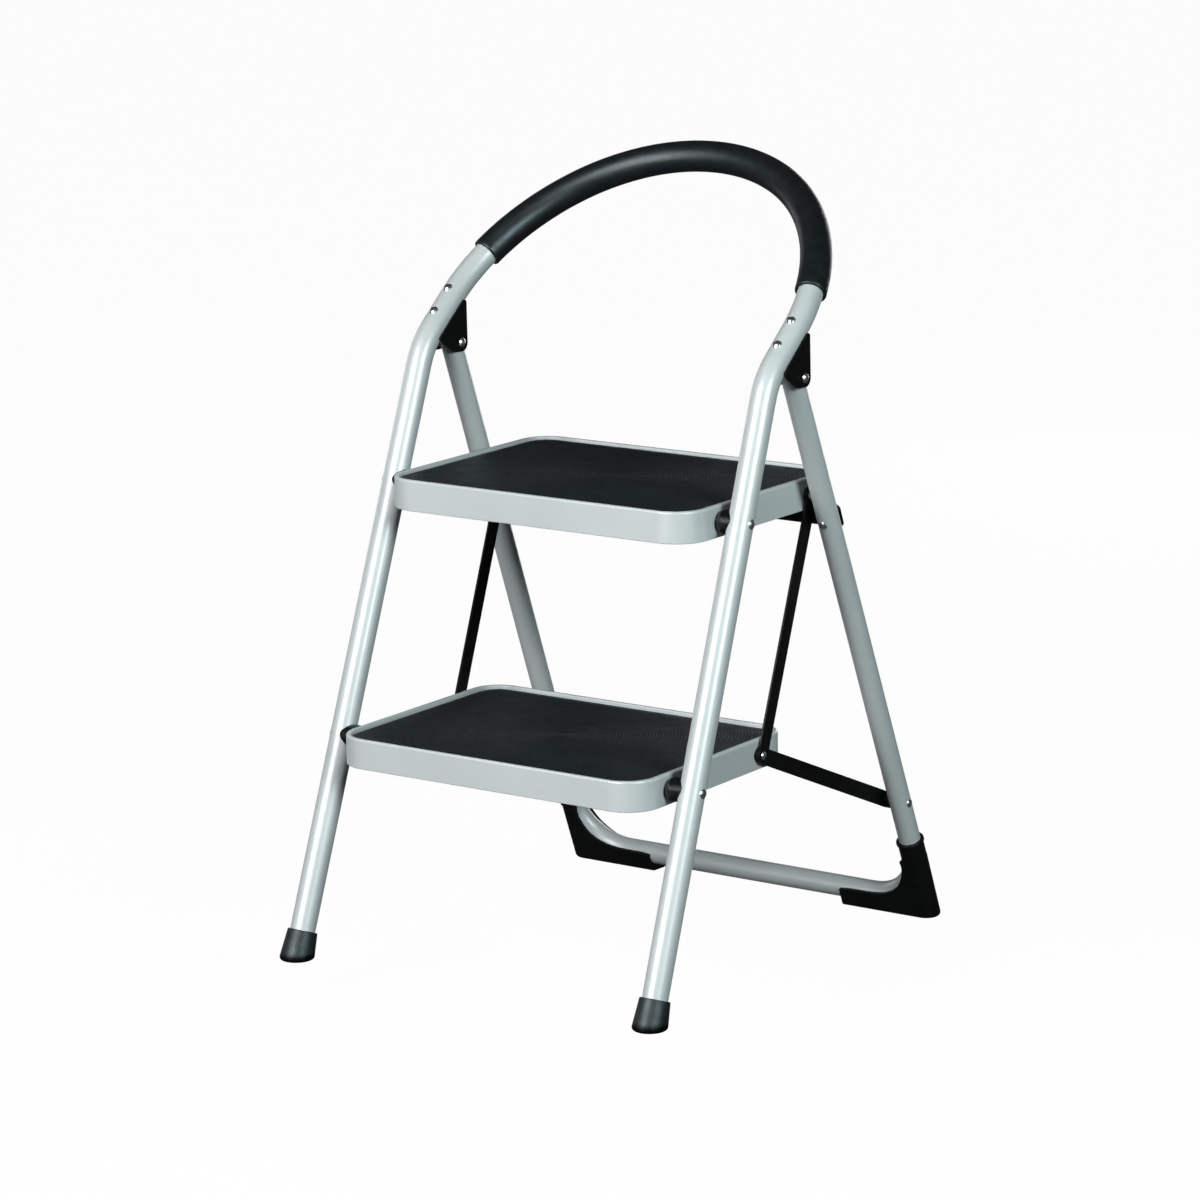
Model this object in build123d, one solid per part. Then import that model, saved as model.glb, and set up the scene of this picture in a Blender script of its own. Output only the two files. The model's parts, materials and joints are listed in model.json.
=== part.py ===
from build123d import *
import math
import os

os.makedirs("parts", exist_ok=True)

# ---------------------------------------------------------------------------
# Folding two-step stool with a hoop handle.
# Millimetres. +Z up, +Y to the rear, X across. The origin is on the floor,
# below the centre of the overall box, so the pieces are first drawn with
# y = 0 where the front leg axes meet the floor and then moved by -Y_SHIFT.
# ---------------------------------------------------------------------------

Y_SHIFT = 244.967

# front frame: one bent tube, two legs and a hoop
FRONT_D = 25.0            # outside diameter of the front tube
FRONT_WALL = 1.5
FRONT_X0 = 210.2          # half spacing of the front leg axes at the floor
FRONT_X1 = 203.1          # half spacing at the bend
FRONT_LEAN = 0.345        # rearward run per unit of height of the front legs
BEND_Z = 585.7            # height of the bend's corner
BEND_R = 75.0             # bend radius of the tube axis
HOOP_LEAN = 49.1          # lean of the hoop's plane from vertical, degrees
HOOP_STRAIGHT = 61.7      # straight run from the bend's corner to the arch
HOOP_SIDE_R = 219.7       # side arcs of the arch
HOOP_SIDE_A = 45.0        # degrees swept by each side arc
LEG_END = 10.0            # height along the axis where the tube ends in its foot
GRIP_R = 15.6             # foam sleeve outside radius
GRIP_RIGHT_A = 12.7       # where the sleeve starts on the right side arc
GRIP_LEFT_A = 16.3        # and on the left side arc

# front feet
FOOT_TOP_R = 14.8
FOOT_FLOOR_R = 17.2
FOOT_H = 28.6             # along the leg axis

# rear frame: one U-shaped tube
REAR_D = 22.0
REAR_WALL = 1.5
REAR_X0 = 212.8           # half spacing of the rear leg axes at the floor
REAR_Y0 = 495.5           # where the rear leg axes meet the floor
HINGE_Y, HINGE_Z = 247.5, 582.5   # main hinge axis
HINGE_X = 202.4           # half spacing of the rear leg axes at the hinge
REAR_TOP = 9.0            # tube above the hinge axis
REAR_BAR_Z = 18.4         # axis height of the floor bar
REAR_BEND_R = 60.0
REAR_FOOT_T = 13.0        # half thickness of the rear feet
REAR_FOOT_END = 118.0     # where the feet end along the floor bar
REAR_FOOT_OUT = 224.0     # and their outer side

# hinge brackets
BRACKET_IN = 12.6         # half of the inside width
BRACKET_OUT = 14.6        # half of the outside width
PIN_R = 4.0               # hinge and step pivot pins
RUN = 0.07                # radial running clearance

# steps (local frame: origin on the pivot axis, u to the rear, w up)
STEP_TILT = 1.5           # the treads rise this much to the rear, degrees
UPPER_TOP = 15.0          # tread rim above the pivot axis
LOWER_TOP = 14.0
SKIRT_LOW = -16.0         # lower edge of the skirts, from the pivot axis
SHEET = 1.2
RIM = (6.0, 3.6, 5.2)     # width of the raised lip: sides, front, rear
UPPER_RECESS = 5.3        # depth of the tread pans below the lip
LOWER_RECESS = 6.0
MAT_T = 2.4
R_FRONT = 34.0            # corner radii of the trays
R_REAR = 31.0
R_PAN = (29.0, 23.0)      # corner radii of the pan, front and rear
UPPER_Z = 455.0           # pivot heights on the front legs
LOWER_Z = 212.5
UPPER_HW, UPPER_U0, UPPER_U1 = 181.0, -54.0, 210.0
LOWER_HW, LOWER_U0, LOWER_U1 = 181.0, -50.5, 209.0
SPACER_R = 11.6

# links and struts
LINK_ARM = 153.0          # from step pivot to link pivot along the step
LINK_OFF = -1.5           # and at right angles to it
LINK_X0, LINK_X1 = 182.5, 184.5
STRUT_X0, STRUT_X1 = 184.9, 186.9
STRUT_SET = 8.4           # the struts stand out by this much at the rear legs
LINK_W = 16.4
LINK_SIDE = 3.2           # the links' bars sit this far behind their pivots
STRUT_W = 16.0
EYE_R = 8.0
LINK_PIN_R = 3.0
OPEN_CLEAR = 0.3          # radial clearance of the links' upper eyes
STRUT_Z = 130.0           # height of the strut pivot on the rear legs

# support bar across the back of the rear legs
BAR_T = 2.0

# --------------------------------------------------------------------------- derived
TH = math.radians(HOOP_LEAN)
SH, CH = math.sin(TH), math.cos(TH)
BEND_Y = FRONT_LEAN * BEND_Z
R1 = HOOP_SIDE_R
D1 = R1 - FRONT_X1                                    # offset of the side arc centres
AA = math.radians(HOOP_SIDE_A)
C2V = HOOP_STRAIGHT + D1 * math.tan(AA)               # apex arc centre
R2 = R1 - D1 / math.cos(AA)
UPPER_Y = FRONT_LEAN * UPPER_Z
LOWER_Y = FRONT_LEAN * LOWER_Z
TILT = math.radians(STEP_TILT)
ARM_Y = LINK_ARM * math.cos(TILT) - LINK_OFF * math.sin(TILT)
ARM_Z = LINK_ARM * math.sin(TILT) + LINK_OFF * math.cos(TILT)
C1 = (UPPER_Y + ARM_Y, UPPER_Z + ARM_Z)               # upper link pivot (y, z)
C2 = (LOWER_Y + ARM_Y, LOWER_Z + ARM_Z)               # lower link pivot
REAR_LEAN = (REAR_Y0 - HINGE_Y) / HINGE_Z
STRUT_Y = REAR_Y0 - REAR_LEAN * STRUT_Z
DP = (STRUT_Y, STRUT_Z)                               # strut pivot on the rear legs


def fx(z):
    return FRONT_X0 + (FRONT_X1 - FRONT_X0) * z / BEND_Z


def rx(z):
    return REAR_X0 + (HINGE_X - REAR_X0) * z / HINGE_Z


def hoop(x, v):
    """Point of the hoop's plane, v measured from the bend's corner."""
    return Vector(x, BEND_Y + v * SH, BEND_Z + v * CH)


def corner(p0, p1, p2, r):
    """Tangent points and middle of an arc of radius r rounding p1."""
    a = (p0 - p1).normalized()
    b = (p2 - p1).normalized()
    ang = math.acos(max(-1, min(1, a.dot(b))))
    t = r / math.tan(ang / 2)
    bis = (a + b).normalized()
    c = p1 + bis * (r / math.sin(ang / 2))
    return p1 + a * t, c - bis * r, p1 + b * t


def side_pt(sign, deg):
    a = math.radians(deg)
    return hoop(sign * (-D1 + R1 * math.cos(a)), HOOP_STRAIGHT + R1 * math.sin(a))


def solid(shape):
    """The single solid of a shape."""
    s = shape.solids()
    return s[0] if len(s) == 1 else shape


def round_sweep(path, r):
    return sweep(Plane(origin=path @ 0, z_dir=path % 0) * Circle(r), path=path)


def x_cyl(r, x0, x1, y, z):
    """Cylinder along X."""
    return extrude(Plane(origin=(x0, y, z), x_dir=(0, 1, 0), z_dir=(1, 0, 0)) * Circle(r), x1 - x0)


def cap_arc(r, h, z, up):
    """Arc of a spherical cap of base radius r and height h, on the axis at z."""
    rho = (r * r + h * h) / (2 * h)
    half = math.asin(min(1.0, r / rho)) / 2
    return ThreePointArc(
        (0, z + up * h),
        (rho * math.sin(half), z + up * (h - rho + rho * math.cos(half))),
        (r, z),
    )


def dome_rivet(r, head_r, head_h, skirt, grip, tail_r=0.0, tail_h=0.0):
    """Rivet along Z: domed head above z = 0 with a short skirt below it,
    shank down to -grip, and a formed tail below that."""
    edges = [cap_arc(head_r, head_h, 0, 1)]
    if skirt > 0:
        edges.append(Line((head_r, 0), (head_r, -skirt)))
    edges.append(Line((head_r, -skirt), (r, -skirt)))
    edges.append(Line((r, -skirt), (r, -grip)))
    low = -grip
    if tail_r:
        low = -grip - tail_h
        edges.append(Line((r, -grip), (tail_r, -grip)))
        edges.append(cap_arc(tail_r, tail_h, -grip, -1))
    else:
        edges.append(Line((r, -grip), (0, -grip)))
    edges.append(Line((0, low), (0, head_h)))
    return revolve(make_face([Plane.XZ * e for e in edges]), Axis.Z)


def place(shape, origin, z_dir, x_dir=None):
    p = Plane(origin=origin, z_dir=z_dir) if x_dir is None else Plane(origin=origin, x_dir=x_dir, z_dir=z_dir)
    return p.location * shape


def yz_prism(pts, x0, x1, radii=None):
    """Polygon of (y, z) points, some corners rounded, extruded along X."""
    f = make_face(Plane.XY * Polyline(*[(p[0], p[1]) for p in pts], close=True))
    if radii:
        for i, r in radii.items():
            v = min(f.vertices(), key=lambda q: (q.X - pts[i][0]) ** 2 + (q.Y - pts[i][1]) ** 2)
            f = fillet(v, r)
    pl = Plane(origin=(x0, 0, 0), x_dir=(0, 1, 0), z_dir=(1, 0, 0))
    return extrude(pl * f, x1 - x0)


def mirror_x(shape):
    return mirror(shape, about=Plane.YZ)


OUT = {}


def put(name, *shapes):
    OUT[name] = [s for sh in shapes for s in sh.solids()]


# --------------------------------------------------------------------------- front frame tube
leg_dir = Vector(FRONT_X1 - FRONT_X0, BEND_Y, BEND_Z).normalized()
foot_r = Vector(FRONT_X0, 0, 0)
leg_end = foot_r + leg_dir * LEG_END
bend = Vector(FRONT_X1, BEND_Y, BEND_Z)
arch0 = hoop(FRONT_X1, HOOP_STRAIGHT)
t1, tm, t2 = corner(leg_end, bend, arch0, BEND_R)


def flip(p):
    return Vector(-p.X, p.Y, p.Z)


j0 = side_pt(1, HOOP_SIDE_A)
apex = hoop(0, C2V + R2)
front_path = Wire([
    Line(leg_end, t1), ThreePointArc(t1, tm, t2), Line(t2, arch0),
    ThreePointArc(arch0, side_pt(1, HOOP_SIDE_A / 2), j0),
    ThreePointArc(j0, apex, flip(j0)),
    ThreePointArc(flip(j0), side_pt(-1, HOOP_SIDE_A / 2), flip(arch0)),
    Line(flip(arch0), flip(t2)), ThreePointArc(flip(t2), flip(tm), flip(t1)), Line(flip(t1), flip(leg_end)),
])
front_solid = round_sweep(front_path, FRONT_D / 2)
front_tube = front_solid - round_sweep(front_path, FRONT_D / 2 - FRONT_WALL)

hoop_n = Vector(0, -CH, SH)               # front and upper normal of the hoop's plane
BRACKET_V = (33.5, 64.5)                  # bracket rivets along the straight run
for s in (1, -1):
    for v in BRACKET_V:
        p = hoop(s * FRONT_X1, v)
        front_tube -= place(Cylinder(2.55, 60), p, hoop_n)
    for y, z in ((UPPER_Y, UPPER_Z), (LOWER_Y, LOWER_Z)):
        front_tube -= x_cyl(PIN_R + 0.03, s * fx(z) - 30, s * fx(z) + 30, y, z)
put("front_frame_tube", front_tube)

# --------------------------------------------------------------------------- foam grip on the hoop
g0, g1 = side_pt(1, GRIP_RIGHT_A), side_pt(-1, GRIP_LEFT_A)
grip_path = Wire([
    ThreePointArc(g0, side_pt(1, (GRIP_RIGHT_A + HOOP_SIDE_A) / 2), j0),
    ThreePointArc(j0, apex, flip(j0)),
    ThreePointArc(flip(j0), side_pt(-1, (GRIP_LEFT_A + HOOP_SIDE_A) / 2), g1),
])
grip = round_sweep(grip_path, GRIP_R) - round_sweep(grip_path, FRONT_D / 2 + 0.05)
put("handle_grip", grip)

# --------------------------------------------------------------------------- front feet
def front_foot(s):
    d = Vector(s * leg_dir.X, leg_dir.Y, leg_dir.Z)
    o = Vector(s * FRONT_X0, 0, 0)
    low = 20.0
    slope = (FOOT_FLOOR_R - FOOT_TOP_R) / FOOT_H
    h = FOOT_H + low
    cone = place(Pos(0, 0, h / 2) * Cone(FOOT_FLOOR_R + slope * low, FOOT_TOP_R, h), o - d * low, d)
    cone -= Pos(o.X, 0, -100) * Box(200, 200, 200)
    bottom = cone.faces().sort_by(Axis.Z)[0]
    cone = fillet(bottom.edges(), 3.0)
    top = max(cone.faces().filter_by(GeomType.PLANE), key=lambda f: f.center().Z)
    cone = fillet(top.edges(), 1.2)
    cone -= place(Pos(0, 0, 40) * Cylinder(FRONT_D / 2 + 0.05, 80), o + d * LEG_END, d)
    return cone


put("front_foot_left", front_foot(-1))
put("front_foot_right", front_foot(1))

# --------------------------------------------------------------------------- hinge brackets
def wpt(v, d):
    """(y, z) at v along the hoop's straight run and d below its axis."""
    return (BEND_Y + v * SH + d * CH, BEND_Z + v * CH - d * SH)


BRACKET_PTS = [wpt(9.0, 2.0), wpt(67.5, 2.0), (256.6, 573.8), (234.0, 573.8)]


def bracket(s):
    xc = s * (FRONT_X1 + 0.0)
    b = yz_prism(BRACKET_PTS, xc - BRACKET_OUT, xc + BRACKET_OUT, {0: 3.0, 1: 3.0, 2: 8.5, 3: 8.5})
    inside = [wpt(-60, 14.5), wpt(130, 14.5), wpt(130, 120), wpt(-60, 120)]
    above = [wpt(-60, 12.55), wpt(130, 12.55), wpt(130, -80), wpt(-60, -80)]
    b -= yz_prism(inside, xc - BRACKET_IN, xc + BRACKET_IN)
    b -= yz_prism(above, xc - BRACKET_IN, xc + BRACKET_IN)
    bent = [wpt(-60, 17.0), wpt(21, 17.0), wpt(21, -80), wpt(-60, -80)]      # clear of the tube's bend
    b -= yz_prism(bent, xc - BRACKET_IN, xc + BRACKET_IN)
    # tongue under the tube, as far as the upper rivet
    b += yz_prism([wpt(48, 12.55), wpt(BRACKET_V[1], 12.55), wpt(BRACKET_V[1], 14.5), wpt(48, 14.5)], xc - 4.4, xc + 4.4)
    b += place(Pos(0, 0, -13.525) * Cylinder(4.4, 1.95), hoop(xc, BRACKET_V[1]), hoop_n)
    b -= x_cyl(PIN_R + 0.03, xc - 40, xc + 40, HINGE_Y, HINGE_Z)
    for v in BRACKET_V:
        b -= place(Cylinder(2.55, 60), hoop(xc, v), hoop_n)
    return b


put("hinge_bracket_left", bracket(-1))
put("hinge_bracket_right", bracket(1))

rivets = []
for s in (-1, 1):
    for v in BRACKET_V:
        p = hoop(s * FRONT_X1, v) + hoop_n * (FRONT_D / 2)
        rv = place(dome_rivet(2.5, 4.8, 2.4, 1.2, FRONT_D + 2.0, 4.0, 1.8), p, hoop_n)
        rivets.append(rv - front_tube)
put("bracket_rivets", *rivets)

# main hinge pins, fast in the bracket cheeks
pins = []
for s in (-1, 1):
    xc = s * FRONT_X1
    p = Vector(xc + s * BRACKET_OUT, HINGE_Y, HINGE_Z)
    pins.append(place(dome_rivet(PIN_R, 5.0, 2.4, 0.0, 2 * BRACKET_OUT, 5.0, 2.2), p, (s, 0, 0)))
put("hinge_pins", *pins)

# --------------------------------------------------------------------------- rear frame tube
def rpt(s, z):
    return Vector(s * rx(z), REAR_Y0 - REAR_LEAN * z, z)


rdir = (rpt(1, HINGE_Z) - rpt(1, 0)).normalized()
rear_top = rpt(1, HINGE_Z) + rdir * REAR_TOP
rear_corner = rpt(1, REAR_BAR_Z)
b1, bm, b2 = corner(rear_top, rear_corner, flip(rear_corner), REAR_BEND_R)
rear_path = Wire([
    Line(rear_top, b1), ThreePointArc(b1, bm, b2), Line(b2, flip(b2)),
    ThreePointArc(flip(b2), flip(bm), flip(b1)), Line(flip(b1), flip(rear_top)),
])
rear_solid = round_sweep(rear_path, REAR_D / 2)
rear_tube = rear_solid - round_sweep(rear_path, REAR_D / 2 - REAR_WALL)

LEAN_A = math.atan(REAR_LEAN)
RV = Vector(0, -math.sin(LEAN_A), math.cos(LEAN_A))       # up along the rear legs
RN = Vector(0, -math.cos(LEAN_A), -math.sin(LEAN_A))      # forward normal of the rear frame
rear_plane = Plane(origin=(0, REAR_Y0, 0), x_dir=(1, 0, 0), z_dir=(RN.X, RN.Y, RN.Z))
BAR_V = 473.0                                             # bar rivets along the rear legs
for s in (1, -1):
    rear_tube -= x_cyl(PIN_R + RUN, s * HINGE_X - 30, s * HINGE_X + 30, HINGE_Y, HINGE_Z)
    rear_tube -= x_cyl(LINK_PIN_R + 0.03, s * rx(STRUT_Z) - 30, s * rx(STRUT_Z) + 30, STRUT_Y, STRUT_Z)
    zb = BAR_V * RV.Z
    rear_tube -= place(Cylinder(2.55, 60), rpt(s, zb), RN)
put("rear_frame_tube", rear_tube)

# --------------------------------------------------------------------------- rear feet
BEND_C = (b2.X, REAR_BAR_Z / math.cos(LEAN_A) + REAR_BEND_R)      # bend centre in the rear frame's plane


def bend_pt(r, deg):
    """Point at radius r round the right bend, deg below the horizontal."""
    a = math.radians(deg)
    return (BEND_C[0] + r * math.cos(a), BEND_C[1] - r * math.sin(a))


def slab(n0, n1, pts, radii):
    f = make_face(Plane.XY * Polyline(*pts, close=True))
    for i, r in radii.items():
        v = min(f.vertices(), key=lambda q: (q.X - pts[i][0]) ** 2 + (q.Y - pts[i][1]) ** 2)
        f = fillet(v, r)
    base = Plane(origin=Vector(0, REAR_Y0, 0) + RN * n0, x_dir=(1, 0, 0), z_dir=(RN.X, RN.Y, RN.Z))
    return extrude(base * f, n1 - n0)


def rear_foot():
    # section across the leg: flat front and rear, round towards the outer side
    t = REAR_FOOT_T
    pts = [(REAR_FOOT_END, -t), (REAR_FOOT_OUT, -t), (REAR_FOOT_OUT, t), (REAR_FOOT_END, t)]
    f = make_face(Plane.XY * Polyline(*pts, close=True))
    for i, r in {1: 14.6, 2: 11.0}.items():
        v = min(f.vertices(), key=lambda q: (q.X - pts[i][0]) ** 2 + (q.Y - pts[i][1]) ** 2)
        f = fillet(v, r)
    base = Plane(origin=Vector(0, REAR_Y0, 0) - RV * 30, x_dir=(1, 0, 0), z_dir=(RV.X, RV.Y, RV.Z))
    body = extrude(base * f, 104.0)
    # both walls end in one line round the bend and open towards the inner side
    edge = [(200.8, 75.0), (202.0, 66.0), (199.6, 56.0), (189.4, 39.6), (177.5, 31.6), (166.0, 27.8), (150.0, 26.2),
            (REAR_FOOT_END - 2, 24.8)]
    low = -40.0
    g = make_face([
        Plane.XY * Spline(*edge), Line(edge[-1], (edge[-1][0], low)), Line((edge[-1][0], low), (240, low)),
        Line((240, low), (240, 75.0)), Line((240, 75.0), edge[0])])
    wall = Plane(origin=Vector(0, REAR_Y0, 0) - RN * (t + 1), x_dir=(1, 0, 0), z_dir=(RN.X, RN.Y, RN.Z))
    body &= extrude(wall * g, 2 * t + 2)
    # the rear wall drops away along the floor tube
    drop = [(200.8, 75.0), (202.0, 66.0), (199.6, 56.0), (189.0, 38.6), (175.5, 27.4), (163.0, 20.6), (150.0, 17.6),
            (REAR_FOOT_END - 2, 16.0)]
    h = make_face([
        Plane.XY * Spline(*drop), Line(drop[-1], (drop[-1][0], 95.0)), Line((drop[-1][0], 95.0), (drop[0][0], 95.0)),
        Line((drop[0][0], 95.0), drop[0])])
    rear = Plane(origin=Vector(0, REAR_Y0, 0) - RN * (t + 2), x_dir=(1, 0, 0), z_dir=(RN.X, RN.Y, RN.Z))
    body -= extrude(rear * h, t + 2)
    # collar about the leg with a bead round its top
    p0, p1, p2 = rpt(1, 66.0), rpt(1, 88.0), rpt(1, 84.6)
    d = (p1 - p0).normalized()
    hgt, bead = (p1 - p0).length, (p1 - p2).length
    body += place(Pos(0, 0, hgt / 2) * Cylinder(13.1, hgt), p0, d)
    ring = Pos(0, 0, bead / 2) * Cylinder(14.3, bead)
    body += place(fillet(ring.edges().filter_by(GeomType.CIRCLE), 1.1), p2, d)
    body -= Pos(175, REAR_Y0, -50) * Box(400, 300, 100)              # flat sole
    body -= rear_solid
    return max(body.solids(), key=lambda q: q.volume)


def soften(body):
    """Rounded edge round the sole, as large as the kernel allows."""
    sole = max((f for f in body.faces().filter_by(GeomType.PLANE) if abs(f.center().Z) < 0.01), key=lambda f: f.area)
    es = [e for e in sole.outer_wire().edges() if e.center().X > REAR_FOOT_END + 1]
    for r in (5.0, 4.0, 3.0, 2.0, 1.2):
        try:
            nb = fillet(es, r)
            sol = nb.solids()
            if len(sol) == 1 and sol[0].is_valid and sol[0].volume > 0.8 * body.volume:
                print("rear foot sole edge", r)
                return sol[0]
        except Exception:
            pass
    print("rear foot sole edge left sharp")
    return body


foot_rr = soften(rear_foot())
put("rear_foot_right", foot_rr)
put("rear_foot_left", mirror_x(foot_rr))

# --------------------------------------------------------------------------- support bar
def bar():
    hx = 212.4
    e0, e1 = 458.5, 483.5
    m1 = 472.5
    pts = [(-hx, e0), (hx, e0), (hx, e1), (194.0, e1), (189.0, m1), (-189.0, m1), (-194.0, e1), (-hx, e1)]
    f = make_face(Plane.XY * Polyline(*pts, close=True))
    for i, r in {0: 5.0, 1: 5.0, 2: 5.0, 7: 5.0}.items():
        v = min(f.vertices(), key=lambda q: (q.X - pts[i][0]) ** 2 + (q.Y - pts[i][1]) ** 2)
        f = fillet(v, r)
    n1 = -REAR_D / 2 - 0.02
    base = Plane(origin=Vector(0, REAR_Y0, 0) + RN * (n1 - BAR_T), x_dir=(1, 0, 0), z_dir=(RN.X, RN.Y, RN.Z))
    b = extrude(base * f, BAR_T)
    # stiffening flange along the lower edge, to the rear
    g = make_face(Plane.XY * Polyline((-185, e0), (185, e0), (185, e0 + BAR_T), (-185, e0 + BAR_T), close=True))
    gb = Plane(origin=Vector(0, REAR_Y0, 0) + RN * (n1 - 12.0), x_dir=(1, 0, 0), z_dir=(RN.X, RN.Y, RN.Z))
    b += extrude(gb * g, 12.0 - BAR_T + 0.5)
    for s in (1, -1):
        b -= place(Cylinder(2.55, 80), rpt(s, BAR_V * RV.Z), RN)
    return b


put("step_support_bar", bar())
brv = []
for s in (-1, 1):
    p = rpt(s, BAR_V * RV.Z) + RN * (REAR_D / 2)
    rv = place(dome_rivet(2.5, 4.2, 1.9, 1.2, REAR_D + BAR_T + 0.02, 4.2, 1.8), p, RN)
    brv.append(rv - rear_tube)
put("support_bar_rivets", *brv)

# --------------------------------------------------------------------------- steps
def plate(hw, u0, u1, w0, w1, inset=(0.0, 0.0, 0.0), radii=(R_FRONT, R_REAR)):
    """Rounded rectangle in the step's plane, inset at the sides, front and rear."""
    xs, xf, xr = inset
    pts = [(-hw + xs, u0 + xf), (hw - xs, u0 + xf), (hw - xs, u1 - xr), (-hw + xs, u1 - xr)]
    f = make_face(Plane.XY * Polyline(*pts, close=True))
    for i, r in enumerate((radii[0], radii[0], radii[1], radii[1])):
        v = min(f.vertices(), key=lambda q: (q.X - pts[i][0]) ** 2 + (q.Y - pts[i][1]) ** 2)
        f = fillet(v, r)
    return extrude(Plane(origin=(0, 0, w0)) * f, w1 - w0)


def even(x):
    """Inset and radii for a shape offset evenly by x from the tray's outline."""
    return (x, x, x), (R_FRONT - x, R_REAR - x)


def step_loc(y, z):
    return Location((0, y, z), (STEP_TILT, 0, 0))


def tray(hw, u0, u1, top, recess):
    low = SKIRT_LOW
    floor = top - recess
    a = (hw, u0, u1)
    t = plate(*a, low, top)
    t = fillet(t.faces().sort_by(Axis.Z)[-1].edges(), 2.2)
    t = fillet(t.faces().sort_by(Axis.Z)[0].edges(), 0.9)
    t -= plate(*a, floor, top + 5, RIM, R_PAN)
    tf = max(t.faces().filter_by(GeomType.PLANE), key=lambda f: f.center().Z)
    inner = min(tf.wires(), key=lambda w: w.length)
    t = fillet(inner.edges(), 1.2)
    t -= plate(*a, low + SHEET, floor - SHEET, *even(SHEET))                  # hollow below the pan
    t -= plate(*a, low - 1, low + SHEET + 0.1, *even(7.0))                    # inside the hem
    wall = tuple(r - SHEET for r in RIM)
    t -= plate(*a, floor - SHEET - 1, top - 2.2, *even(SHEET)) - plate(
        *a, floor - SHEET - 2, top, wall, (R_PAN[0] + SHEET, R_PAN[1] + SHEET))     # inside the rim
    for s in (1, -1):
        t -= x_cyl(PIN_R + RUN, s * hw - 12, s * hw + 12, 0, 0)
        t -= x_cyl(LINK_PIN_R + 0.03, s * hw - 12, s * hw + 12, LINK_ARM, LINK_OFF)
    return t


def mat(hw, u0, u1, top, recess):
    floor = top - recess
    gap = 0.5
    m = plate(hw, u0, u1, floor + 0.02, floor + MAT_T, tuple(r + gap for r in RIM), (R_PAN[0] - gap, R_PAN[1] - gap))
    return fillet(m.faces().sort_by(Axis.Z)[-1].edges(), 0.8)


ul, ll = step_loc(UPPER_Y, UPPER_Z), step_loc(LOWER_Y, LOWER_Z)
put("upper_step_tray", ul * tray(UPPER_HW, UPPER_U0, UPPER_U1, UPPER_TOP, UPPER_RECESS))
put("upper_step_mat", ul * mat(UPPER_HW, UPPER_U0, UPPER_U1, UPPER_TOP, UPPER_RECESS))
put("lower_step_tray", ll * tray(LOWER_HW, LOWER_U0, LOWER_U1, LOWER_TOP, LOWER_RECESS))
put("lower_step_mat", ll * mat(LOWER_HW, LOWER_U0, LOWER_U1, LOWER_TOP, LOWER_RECESS))


def leg_cyl(s, r):
    d = Vector(s * leg_dir.X, leg_dir.Y, leg_dir.Z)
    return place(Pos(0, 0, 280) * Cylinder(r, 640), Vector(s * FRONT_X0, 0, 0), d)


def step_fixings(name, hw, y, z):
    sp, rv = [], []
    for s in (-1, 1):
        x_leg = fx(z)
        tube = x_cyl(SPACER_R, min(s * (hw + 0.4), s * x_leg), max(s * (hw + 0.4), s * x_leg), y, z)
        end = min(tube.edges().filter_by(GeomType.CIRCLE), key=lambda e: abs(e.center().X))
        tube = fillet(end, 6.4)
        tube -= leg_cyl(s, FRONT_D / 2 + 0.02)
        tube -= x_cyl(PIN_R + 0.03, s * x_leg - 60, s * x_leg + 60, y, z)
        tube = max(tube.solids(), key=lambda q: q.volume)
        sp.append(tube)
        p = Vector(s * (x_leg + FRONT_D / 2), y, z)
        inner = hw - SHEET - 0.3                       # formed end inside the skirt
        grip = x_leg + FRONT_D / 2 - inner
        r = place(dome_rivet(PIN_R, 5.0, 2.0, 1.3, grip, 7.0, 2.4), p, (s, 0, 0))
        rv.append(r - front_tube)
    put(name + "_step_spacers", *sp)
    put(name + "_step_pivot_rivets", *rv)


step_fixings("upper", UPPER_HW, UPPER_Y, UPPER_Z)
step_fixings("lower", LOWER_HW, LOWER_Y, LOWER_Z)

# --------------------------------------------------------------------------- links and struts
def strap(p, q, w, x0, x1, r_eye, holes, side=0.0):
    """Flat bar from p to q (y, z) with round eyes; side moves the bar off the line of the eyes."""
    a, b = Vector(0, p[0], p[1]), Vector(0, q[0], q[1])
    d = (b - a).normalized()
    n = Vector(0, -d.Z, d.Y)
    c = [a + n * (w / 2 - side), b + n * (w / 2 - side), b - n * (w / 2 + side), a - n * (w / 2 + side)]
    t = yz_prism([(k.Y, k.Z) for k in c], x0, x1)
    t += x_cyl(r_eye, x0, x1, *p)
    t += x_cyl(r_eye, x0, x1, *q)
    t -= x_cyl(holes[0], x0 - 5, x1 + 5, *p)
    t -= x_cyl(holes[1], x0 - 5, x1 + 5, *q)
    return t


link = strap(C2, C1, LINK_W, LINK_X0, LINK_X1, EYE_R, (LINK_PIN_R + RUN, LINK_PIN_R + OPEN_CLEAR), LINK_SIDE)
put("side_link_right", link)
put("side_link_left", mirror_x(link))
strut = strap(C2, DP, STRUT_W, STRUT_X0 - 10, STRUT_X1 + STRUT_SET + 10, EYE_R, (LINK_PIN_R + RUN, LINK_PIN_R + 0.03))
sv = Vector(0, DP[0] - C2[0], DP[1] - C2[1])
sl = sv.length
sd = sv.normalized()
sn = Vector(0, -sd.Z, sd.Y)
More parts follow.
